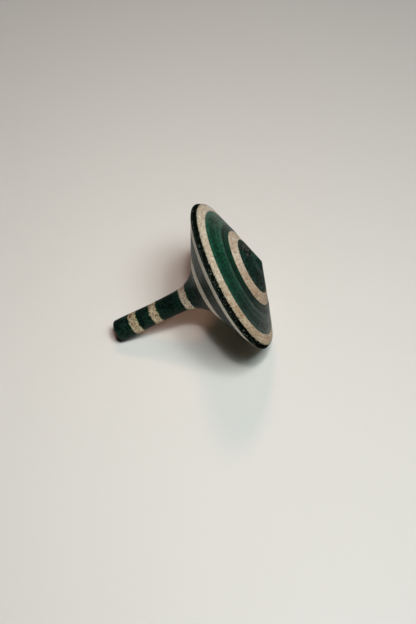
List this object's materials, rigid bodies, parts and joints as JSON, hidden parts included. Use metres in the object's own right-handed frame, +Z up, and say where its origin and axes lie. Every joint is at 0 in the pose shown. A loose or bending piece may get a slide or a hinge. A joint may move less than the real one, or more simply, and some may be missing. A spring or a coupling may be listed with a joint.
{
  "type": "spinning top",
  "caption": "Finger spinning top turned from glued green and natural wood plies, a wide cone with a slim stem, lying on its side.",
  "frame": {"origin": "on the surface the top lies on, under the middle of its outer box", "axes": "+Z up; the turning axis lies in the XZ plane, with the tip towards +X and the stem's end towards -X, dipping to the surface"},
  "size_m": [0.0408, 0.04, 0.0356],
  "materials": {
    "natural_wood": "pale close-grained wood, clear satin lacquer",
    "bright_green_wood": "dyed green wood, clear satin lacquer",
    "dark_green_wood": "dyed dark green wood, clear satin lacquer",
    "black_green_wood": "dyed near-black green wood, clear satin lacquer"
  },
  "bodies": {
    "root": {"tip_ply": "dark_green_wood", "cone_inner_natural_ply": "natural_wood", "cone_dark_ply": "dark_green_wood", "cone_green_ply": "bright_green_wood", "cone_outer_natural_ply": "natural_wood", "rim_ply": "black_green_wood", "underside_natural_ply": "natural_wood", "underside_green_ply": "dark_green_wood", "shoulder_natural_ply": "natural_wood", "flare_green_ply": "dark_green_wood", "flare_natural_ply": "natural_wood", "stem_lower_green_ply": "black_green_wood", "stem_lower_natural_ply": "natural_wood", "stem_middle_green_ply": "black_green_wood", "stem_upper_natural_ply": "natural_wood", "stem_end_green_ply": "black_green_wood"}
  },
  "joints": []
}
